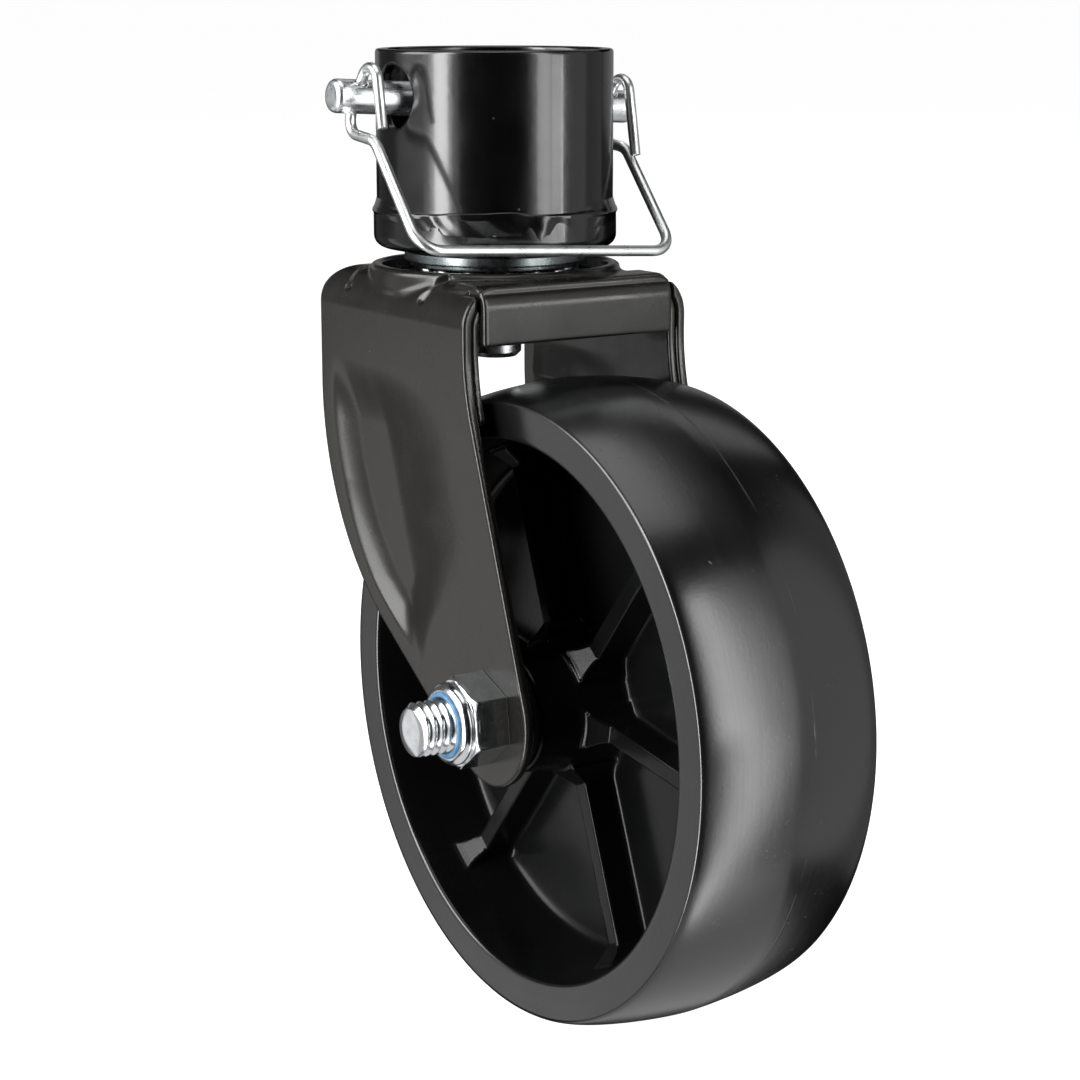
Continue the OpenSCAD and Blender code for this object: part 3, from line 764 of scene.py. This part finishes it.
def back_edge(x, z):
    """Distance behind the cheek's back edge: a straight, an arc, and a tangent to the round end."""
    dx, dz = x - BACK_CENTRE[0], z - BACK_CENTRE[1]
    line = dx * BACK_TOUCH[0] + dz * BACK_TOUCH[1] - BACK_ARC_R
    straight = FORK_BACK - x
    past_line = dx * BACK_TOUCH[1] - dz * BACK_TOUCH[0] > 0
    arc = np.hypot(dx, dz) - BACK_ARC_R
    return np.where(dz > 0, straight, np.where(past_line, arc, line))


def cheek_outline(x, z):
    """Distance outside the outline of a cheek, looking along the axle."""
    end = np.hypot(x - AXLE_XZ[0], z - AXLE_XZ[1]) - END_R
    middle = unit(FRONT_TOUCH + BACK_TOUCH)
    chord = END_R * (FRONT_TOUCH @ middle)
    cut = chord - ((x - AXLE_XZ[0]) * middle[0] + (z - AXLE_XZ[1]) * middle[1])
    top = round_corner(FORK_BACK - x, z - FORK_TOP, 7)
    plate = np.maximum(np.maximum(front_edge(x, z), back_edge(x, z)), np.maximum(top, -cut))
    return np.minimum(end, plate)


def pressing(x, z):
    """Depth of the long hollow pressed into each cheek: steep along its back, a long slope in front."""
    inset = PRESS_BACK - 1.5 * np.clip((-105 - z) / 22, 0, 1)
    behind = -back_edge(x, z) - inset
    behind = np.clip((behind + np.sqrt(behind ** 2 + 0.5)) / PRESS_BACK_WIDTH, 0, 1)
    ahead = np.maximum(-front_edge(x, z) - PRESS_FRONT, 0) / PRESS_FRONT_WIDTH
    back, front = 1 - (1 - behind) ** 2, smooth_min(ahead ** 2, 1, 0.2)
    top = step_up(PRESS_TOP - z, PRESS_END_WIDTH)
    low = step_up(np.hypot(x - AXLE_XZ[0], z - AXLE_XZ[1]) - PRESS_LOW_R, PRESS_END_WIDTH)
    return PRESS_DEPTH * back * front * top * low


def bent(across, up, half, top, bend, thick):
    """A sheet bent down over a corner at (half, top), with its outside bend radius."""
    outer = round_corner(across - half, up - top, bend)
    return np.abs(outer + thick / 2) - thick / 2


def disc(r, z, radius, low, high, edge):
    """A round plate between two heights with rounded edges."""
    return round_corner(r - radius, np.abs(z - (low + high) / 2) - (high - low) / 2, edge)


def pinch(x, y, z):
    """Depth inside the grooves pinched across the bends, which spread and grow thinner toward the top."""
    from_y, from_z = y - FORK_HALF + FORK_BEND, z - FORK_TOP + FORK_BEND
    round_bend = np.arctan2(from_z, from_y)
    along = np.clip(round_bend, *PINCH_TURNS)
    share = (along - PINCH_TURNS[0]) / (PINCH_TURNS[1] - PINCH_TURNS[0])
    radial = np.hypot(from_y, from_z) - FORK_BEND - PINCH_ABOVE
    off = np.abs(x - PINCH_MIDDLE) - PINCH_X - PINCH_SPREAD * share
    aside = np.hypot(off, (round_bend - along) * FORK_BEND)
    return PINCH_R - 0.5 * share - np.hypot(aside, radial)


def fork_field(p):
    """The pressed fork: a bent sheet with hollow cheeks, a dished boss on top and a panel in front."""
    x, y, z = p[:, 0], np.abs(p[:, 1]), p[:, 2]
    r = np.hypot(x, p[:, 1])
    wall = bent(y + pressing(x, z), z, FORK_HALF, FORK_TOP, FORK_BEND, SHEET)
    shell = smooth_max(wall, cheek_outline(x, z), CUT_EDGE)
    boss = disc(r, z, BOSS_R, BOSS_BOTTOM, BOSS_TOP, 1.3)
    body = smooth_min(shell, boss, 1.2)
    panel = bent(x, z, PANEL_FRONT, FORK_TOP, PANEL_BEND, SHEET)
    panel = smooth_max(panel, y - PANEL_HALF, CUT_EDGE)
    panel = smooth_max(panel, PANEL_LOW - z, CUT_EDGE)
    panel = np.maximum(panel, PANEL_BACK - x)
    slot = np.maximum(np.abs(y - PANEL_HALF - SLOT_HALF) - SLOT_HALF, PANEL_FRONT - PANEL_BEND - 1.5 - x)
    body = smooth_max(body, -slot, 0.4)
    body = np.minimum(body, panel)
    body = smooth_max(body, pinch(x, y, z), 0.8)
    dish = np.maximum(r - DISH_R, DISH_FLOOR - z)
    body = smooth_max(body, -dish, 0.7)
    for track in (UPPER_TRACK, LOWER_TRACK):
        body = np.maximum(body, -ball_track(r, z, track))
    body = np.maximum(body, SWIVEL_BORE_R - r)
    return np.maximum(body, BOLT_HOLE_R - np.hypot(x - AXLE_XZ[0], z - AXLE_XZ[1]))


def make_fork():
    step = 0.62
    axes = (span(FORK_LOW[0] - 1, FORK_HIGH[0] + 1, step),
            span(-FORK_HALF - 1, FORK_HALF + 1, step),
            span(FORK_LOW[2] - 1, FORK_HIGH[2] + 1, step))
    fork = field_object("fork_shell_pressed", fork_field, axes, keep=0.6)
    finish_piece(fork, FORK_PAINT, "fork", "fork_paint", "fork_shell")


CHANNEL_SHEET = 2.0
CHANNEL_CUT = -84.0
CHANNEL_BACK = -24
SHEET_GAP = 0.05
BOSS_GAP = 0.4
BOSS_NOTCH_LOW = -60.4
PANEL_NOTCH_BACK = 31.4
PANEL_NOTCH_LOW = -69

# Beads under the channel's edge: places along X, middle across and up, half length, radius, and the flats
# on which they end.
CHANNEL_WELDS_X = (25.0, 34.0)
CHANNEL_WELD_Y, CHANNEL_WELD_Z = 28.6, -84.1
CHANNEL_WELD_HALF = 2.0
CHANNEL_WELD_R = 1.05
CHANNEL_WELD_WALL, CHANNEL_WELD_TOP = 28.75, -84.05


def channel_field(p):
    """The second channel, which follows the fork's cheeks from the inside."""
    x, y, z = p[:, 0], np.abs(p[:, 1]), p[:, 2]
    half = FORK_HALF - SHEET - SHEET_GAP
    top = FORK_TOP - SHEET - SHEET_GAP
    hollow = pressing(x, z)
    wall = bent(y + hollow, z, half, top, FORK_BEND - SHEET, CHANNEL_SHEET)
    sides = np.maximum(front_edge(x, z) + 0.4, CHANNEL_BACK - x)
    body = smooth_max(wall, smooth_max(sides, CHANNEL_CUT - z, 2), 0.8)
    boss = np.maximum(np.hypot(x, p[:, 1]) - BOSS_R - BOSS_GAP, BOSS_NOTCH_LOW - z)
    panel = np.maximum(np.maximum(y - PANEL_HALF - 0.3, PANEL_NOTCH_BACK - x), PANEL_NOTCH_LOW - z)
    return np.maximum(np.maximum(body, -boss), -panel)


def make_channel():
    step = 0.55
    low, high = CHANNEL_LOW, CHANNEL_HIGH
    axes = (span(low[0] - 1, high[0] + 1, step), span(low[1] - 1, high[1] + 1, step),
            span(low[2] - 1, high[2] + 1, step))
    channel = field_object("inner_channel_pressed", channel_field, axes, keep=0.6)
    finish_piece(channel, FORK_PAINT, "fork", "fork_paint", "inner_channel")


def channel_weld_field(p):
    """Two short lumpy beads on each side, under the channel's cut edge."""
    x, y, z = p[:, 0], np.abs(p[:, 1]), p[:, 2]
    bead = np.inf
    for middle in CHANNEL_WELDS_X:
        along = np.maximum(np.abs(x - middle) - CHANNEL_WELD_HALF, 0)
        lump = 0.15 * seeded_noise(p, 2.2, 21)
        away = np.sqrt(along ** 2 + (y - CHANNEL_WELD_Y) ** 2 + (z - CHANNEL_WELD_Z) ** 2)
        bead = np.minimum(bead, away - CHANNEL_WELD_R + lump)
    return np.maximum(np.maximum(bead, y - CHANNEL_WELD_WALL), z - CHANNEL_WELD_TOP)


def make_channel_welds():
    bead = field_object("channel_welds_bead", channel_weld_field,
                        (span(21, 38, 0.3), span(-30, 30, 0.3), span(-86, -83, 0.3)))
    finish_piece(bead, FORK_PAINT, "fork", "fork_paint", "channel_welds")


# ---------------------------------------------------------------- axle

HEX_FOLD = math.radians(60)
THREAD_PITCH = 25.4 / 13
THREAD_DEPTH = 1.0
THREAD_END = -FORK_HALF + 6.0
BOLT_R = 6.35
NUT_HEX_H = 9.0
NUT_TURN = 8.0
NUT_BORE_R = 6.38
NUT_MOUTH_R = 7.6
INSERT_R = 7.0
INSERT_HALF = 0.62
INSERT_LOW = 8.5
INSERT_TOP = 12.4


def hex_distance(a, b, af, turn=0.0):
    """Distance outside a hexagon with flats a width af apart, with corners along b before it is turned."""
    angle = np.arctan2(b, a) - math.radians(turn - 30)
    folded = np.mod(angle, HEX_FOLD) - HEX_FOLD / 2
    return np.hypot(a, b) * np.cos(folded) - af / 2


def nut_field(p):
    """The lock nut, with its local height along the axle out of the near cheek."""
    a, b = p[:, 0], p[:, 1]
    h = -p[:, 2] - FORK_HALF
    r = np.hypot(a, b)
    flats = hex_distance(a, b, NUT_AF, NUT_TURN)
    prism = smooth_max(flats, np.abs(h - NUT_HEX_H / 2) - NUT_HEX_H / 2, 0.3)
    chamfer = (r - NUT_AF / 2 - 0.1) * 0.5 + (h - NUT_HEX_H) * 0.866  # 30 degrees
    prism = smooth_max(prism, chamfer, 0.25)
    high = -NUT_LOW[1] - FORK_HALF
    crown = round_corner(r - NUT_AF / 2 - 0.1, h - high, 2.1)
    crown = np.maximum(crown, NUT_HEX_H - 1 - h)
    groove = np.hypot(r - NUT_AF / 2 - 0.1, h - NUT_HEX_H - 0.25) - 0.45
    body = smooth_max(smooth_min(prism, crown, 0.3), -groove, 0.2)
    body = smooth_max(body, NUT_BORE_R - r, 0.2)
    return smooth_max(body, np.minimum(NUT_MOUTH_R - r, h - NUT_HEX_H + 0.6), 0.25)


def make_nut():
    axes = (span(5.9, 11.6, 0.27), 300, span(NUT_LOW[1] - 0.6, -FORK_HALF + 0.6, 0.27))
    nut = field_object("axle_nut_plated", nut_field, axes, polar=True, place=at_axle, keep=0.5)
    finish_piece(nut, NUT_ZINC, "fork", "zinc", "axle_nut")


def insert_field(p):
    """The nylon ring, pressed round the thread so that its inner edge bulges."""
    r = np.hypot(p[:, 0], p[:, 1])
    h = -p[:, 2] - FORK_HALF
    bulge = round_corner(np.abs(r - INSERT_R) - INSERT_HALF, h - INSERT_TOP, 0.6)
    return np.maximum(bulge, INSERT_LOW - h)


def make_insert():
    axes = (span(5.9, 8.1, 0.16), 160, span(-FORK_HALF - 13, -FORK_HALF - 8, 0.2))
    ring = field_object("nut_insert_nylon", insert_field, axes, polar=True, place=at_axle)
    finish_piece(ring, NYLON_BLUE, "fork", "nylon_blue", "nut_insert")


def bolt_field(p):
    """Head, shank and a rolled thread whose groove follows one helix."""
    a, b, h = p[:, 0], p[:, 1], p[:, 2]
    r = np.hypot(a, b)
    phase = np.mod(h / THREAD_PITCH - np.arctan2(b, a) / (2 * math.pi), 1)
    flank = np.abs(phase - 0.5) * 2
    depth = THREAD_DEPTH * np.clip(1.15 * (1 - flank) - 0.05, 0, 1) * step_up(THREAD_END - h, 2)
    tip = h - BOLT_LOW[1]
    shank = (r - BOLT_R + depth) * 0.75
    dome = 0.5 * np.clip((r - 3.4) / 2.9, 0, 1.2) ** 2
    shank = smooth_max(shank, dome - tip, 0.5)
    shank = np.maximum(shank, h - FORK_HALF - 1)
    above = h - FORK_HALF
    top = BOLT_HIGH[1] - FORK_HALF
    head = smooth_max(hex_distance(a, b, NUT_AF), np.abs(above - top / 2) - top / 2, 0.3)
    head = smooth_max(head, (r - NUT_AF / 2 - 0.2) * 0.42 + (above - top) * 0.91, 0.25)  # 25 degrees
    washer_face = np.maximum(r - 9.0, np.abs(above - 0.3) - 0.3)
    return np.minimum(np.minimum(shank, head), washer_face)


def make_bolt():
    thread = span(BOLT_LOW[1] - 0.5, THREAD_END + 0.5, 0.21)
    shank = span(THREAD_END + 1.2, FORK_HALF - 1.2, 1.2)
    head = span(FORK_HALF - 0.5, BOLT_HIGH[1] + 0.6, 0.3)
    axes = (span(0.15, 11.5, 0.27), 144, np.concatenate([thread, shank, head]))
    bolt = field_object("axle_bolt_plated", bolt_field, axes, polar=True, place=at_axle, keep=0.7)
    finish_piece(bolt, NUT_ZINC, "fork", "zinc", "axle_bolt")


# ---------------------------------------------------------------- wheel

LIP_R = 72.5
LIP_INNER_R = 63.8
WEB_R = 60.3
WEB_HALF = 1.9
RIM_HALF = 23.9
HUB_R = 15.5
HUB_END_R = 14.0
HUB_HALF = WHEEL_HIGH[1]
HUB_BORE_R = 10.0
RIB_HALF = 2.2
RIB_TOP = 9.9
RIB_RISE = 4.0
RIB_PHASE = math.radians(-9)
CROWN_POWER = 1.5


def crown_distance(r, s):
    """Distance outside the crowned tread and the flat lips, at a radius and a distance from the middle."""
    u = np.clip(s / RIM_HALF, 0, 1.2)
    v = np.clip((r - LIP_R) / (WHEEL_R - LIP_R), 0, 1.6)
    level = u ** CROWN_POWER + v ** CROWN_POWER - 1
    slope = CROWN_POWER * np.hypot(np.sqrt(u) / RIM_HALF, np.sqrt(v) / (WHEEL_R - LIP_R))
    return np.where(r > LIP_R, level / np.maximum(slope, 0.02), s - RIM_HALF)


def wheel_field(p):
    """The moulded wheel, with its local height along the axle."""
    a, b = p[:, 0], p[:, 1]
    s = np.abs(p[:, 2])
    r = np.hypot(a, b)
    inner = (LIP_INNER_R - (LIP_INNER_R - WEB_R) * (RIM_HALF - s) / (RIM_HALF - WEB_HALF) - r) * 0.987
    rim = smooth_max(crown_distance(r, s), inner, 1.0)
    web = np.maximum(s - WEB_HALF, r - WEB_R - 2)
    hub = smooth_max(r - HUB_R + (HUB_R - HUB_END_R) * s / HUB_HALF, s - HUB_HALF, 0.8)
    turn = np.mod(np.arctan2(b, a) - RIB_PHASE + HEX_FOLD / 2, HEX_FOLD) - HEX_FOLD / 2
    u, v = r * np.cos(turn), np.abs(r * np.sin(turn))
    at_hub = np.clip((HUB_R + RIB_RISE - u) / RIB_RISE, 0, 1)
    at_rim = np.clip((u - WEB_R + 3) / RIB_RISE, 0, 1)
    half = RIB_HALF + 2.5 * at_hub ** 1.5 + 1.4 * at_rim + 0.03 * (RIB_TOP - s)
    top = RIB_TOP + RIB_RISE * np.maximum(at_hub, at_rim)
    rib = smooth_max((v - half) * 0.85, (s - top) * 0.75, 0.5)
    rib = np.maximum(rib, u - WEB_R - 2.5)
    body = smooth_min(smooth_min(rim, web, 2.5), hub, 2.0)
    body = smooth_min(body, rib, 1.4)
    return np.maximum(body, HUB_BORE_R - r)


def make_wheel():
    height = span(-HUB_HALF - 0.8, HUB_HALF + 0.8, 0.8)
    axes = (span(9.2, WHEEL_R + 1, 0.72), 540, height)
    wheel = field_object("wheel_moulded", wheel_field, axes, polar=True, place=at_axle, keep=0.33)
    finish_piece(wheel, WHEEL_PLASTIC, "wheel", "wheel_plastic", "wheel")


# ---------------------------------------------------------------- CAD nodes that stay

def keep_node(node, material):
    """Shows a CAD node as it is, with a better material."""
    thing = frame["nodes"][node]
    thing.data.materials.clear()
    thing.data.materials.append(material)


def keep_hidden_parts():
    """The pieces inside, plain turned parts of which the photo shows no more than an edge."""
    for node in ("kingpin", "kingpin_washer", "kingpin_nut", "axle_sleeve", "thrust_washers"):
        keep_node(node, ZINC)
    keep_node("lower_race", RACE_STEEL)
    for node in ("upper_balls", "lower_balls"):
        keep_node(node, SHADED_BALL_STEEL)
    keep_node("hub_bushings", NYLON_BLACK)


# ---------------------------------------------------------------- camera, lights and floor

CAMERA_AT = Vector((0.525164, -0.332787, 0.014729))
CAMERA_AZIMUTH = math.radians(56.492)
CAMERA_PITCH = math.radians(12.024)
CAMERA_LENS = 85.1
CAMERA_SHIFT = (-0.0058, -0.0103)


def make_camera():
    data = bpy.data.cameras.new("camera")
    data.lens = CAMERA_LENS
    data.sensor_width = 36
    data.shift_x, data.shift_y = CAMERA_SHIFT
    data.clip_start = 0.01
    camera = bpy.data.objects.new("camera", data)
    bpy.context.scene.collection.objects.link(camera)
    camera.location = CAMERA_AT
    camera.rotation_euler = (math.pi / 2 - CAMERA_PITCH, 0, CAMERA_AZIMUTH)
    bpy.context.scene.camera = camera


# Places and distances of the lights are in metres.
LIGHT_AIM = Vector((0.03, 0, -0.11))
LIGHT_FAR = 1.3

WING_FAR = 0.35

# Name, left, right, low and high end in degrees as seen from LIGHT_AIM, radiance, and distance where it
# isn't LIGHT_FAR. The key panels make the broad highlight on the right of the round pieces and the strips
# make the one on their left. Shoulders, feet and falls soften the edges of both.
PANELS = (
    ("key_low", 48, 59, -62, -3.5, 3.6),
    ("key_low_shoulder", 46, 62, -64, -3.5, 1.3),
    ("key_top", 42, 56, -3.5, 4.5, 4.6),
    ("key_wing", 57, 68.8, 5.5, 17.5, 4.8, WING_FAR),
    ("key_edge", 68.8, 69.9, 5.5, 17.5, 22.0, WING_FAR),
    ("key_high", 41, 56, 4.5, 42, 4.2),
    ("key_shoulder", 37, 66, -3.5, 45, 0.8),
    ("key_foot", 33, 76, -66, 45, 0.4),
    ("key_fall", 76, 100, -40, 40, 0.6),
    ("right_fill", 100, 128, -40, 40, 0.25),
    ("back_fill", 130, 215, 0, 15, 0.3),
    ("rear_top", 142, 200, 34, 48, 0.6),
    ("strip_core", -59.5, -45, -40, 45, 10.0),
    ("strip_shoulder", -65, -41, -42, 47, 3.2),
    ("strip_foot", -72, -34, -45, 50, 0.9),
    ("strip_fall", -107, -74, -40, 40, 0.4),
    ("ridge", -98, -66, 5, 45, 5.5),
    ("left_fill", -118, -107, -40, -4, 0.9),
    ("left_dim", -150, -118, -40, -4, 0.1),
    ("left_top", -150, -107, -4, 40, 0.08),
)


def across_camera(turn):
    """Level direction at a turn to the right of the camera, as seen from the object."""
    angle = math.radians(turn)
    toward = Vector((math.sin(CAMERA_AZIMUTH), -math.cos(CAMERA_AZIMUTH), 0))
    right = Vector((math.cos(CAMERA_AZIMUTH), math.sin(CAMERA_AZIMUTH), 0))
    return toward * math.cos(angle) + right * math.sin(angle)


def area_light(name, place, away, width, tall, radiance):
    """A rectangular light of even radiance that shines along minus away."""
    data = bpy.data.lights.new(name, "AREA")
    data.shape = "RECTANGLE"
    data.size = width
    data.size_y = tall
    data.energy = radiance * math.pi * width * tall
    light = bpy.data.objects.new(name, data)
    bpy.context.scene.collection.objects.link(light)
    light.location = place
    light.rotation_euler = away.to_track_quat("Z", "Y").to_euler()
    light.visible_camera = False
    return light


def panel(name, left, right, low, high, radiance, far=LIGHT_FAR):
    """An upright light that spans the given turns and heights, in degrees, as seen from LIGHT_AIM."""
    width = 2 * far * math.tan(math.radians(right - left) / 2)
    bottom = far * math.tan(math.radians(low))
    top = far * math.tan(math.radians(high))
    away = across_camera((left + right) / 2)
    place = LIGHT_AIM + away * far + Vector((0, 0, (bottom + top) / 2))
    return area_light(name, place, away, width, top - bottom, radiance)


def light_all_but(dark, lights):
    """Lets some lights reach every piece but the one whose name starts with dark."""
    lit = bpy.data.collections.new("all_but_" + dark)
    for thing in bpy.context.scene.objects:
        if thing.type == "MESH" and not thing.name.startswith(dark):
            lit.objects.link(thing)
    for light in lights:
        light.light_linking.receiver_collection = lit


def make_lights():
    """The panels, a sheet of light above and below, and a white background."""
    lights = {row[0]: panel(*row) for row in PANELS}
    light_all_but("wheel", (lights["key_wing"], lights["key_edge"]))
    up = Vector((0, 0, 1))
    area_light("overhead", LIGHT_AIM + up * LIGHT_FAR, up, 1.1, 1.1, 1.5)
    area_light("under_glow", LIGHT_AIM + Vector((0.1, 0, -0.9)), -up, 1.4, 1.4, 0.65)
    world = bpy.data.worlds.new("studio")
    world.use_nodes = True
    world.node_tree.nodes["Background"].inputs["Color"].default_value = (1, 1, 1, 1)
    world.cycles_visibility.diffuse = False
    world.cycles_visibility.glossy = False
    bpy.context.scene.world = world
    bpy.context.scene.view_settings.view_transform = "Standard"


def make_floor():
    """A wide pale sheet under the wheel, with a very slight unevenness in its tone."""
    half, cells = 60000.0, 24
    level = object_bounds()[0][2] / MM
    at = np.linspace(-half, half, cells + 1)
    gx, gy = np.meshgrid(at, at, indexing="ij")
    points = np.stack([gx.ravel(), gy.ravel(), np.full(gx.size, level)], 1)
    corner = (np.arange(cells)[:, None] * (cells + 1) + np.arange(cells)).ravel()
    faces = np.stack([corner, corner + cells + 1, corner + cells + 2, corner + 1], 1)
    floor = mesh_object("floor", points, faces)
    m = Material("floor", Roughness=0.9, Emission_Color=(1, 1, 1, 1), Emission_Strength=0.985)
    m.drive("Base Color", m.mix(m.noise(400, 2), (0.5, 0.5, 0.5, 1), (0.53, 0.53, 0.53, 1)))
    floor.data.materials.append(m.made)
    floor.visible_glossy = False
    floor.visible_diffuse = False
    floor.visible_shadow = False


make_camera()
make_sleeve()
make_collar()
make_race()
make_pin()
make_bail()
make_fork()
make_channel()
make_channel_welds()
make_nut()
make_insert()
make_bolt()
make_wheel()
keep_hidden_parts()
make_lights()
make_floor()
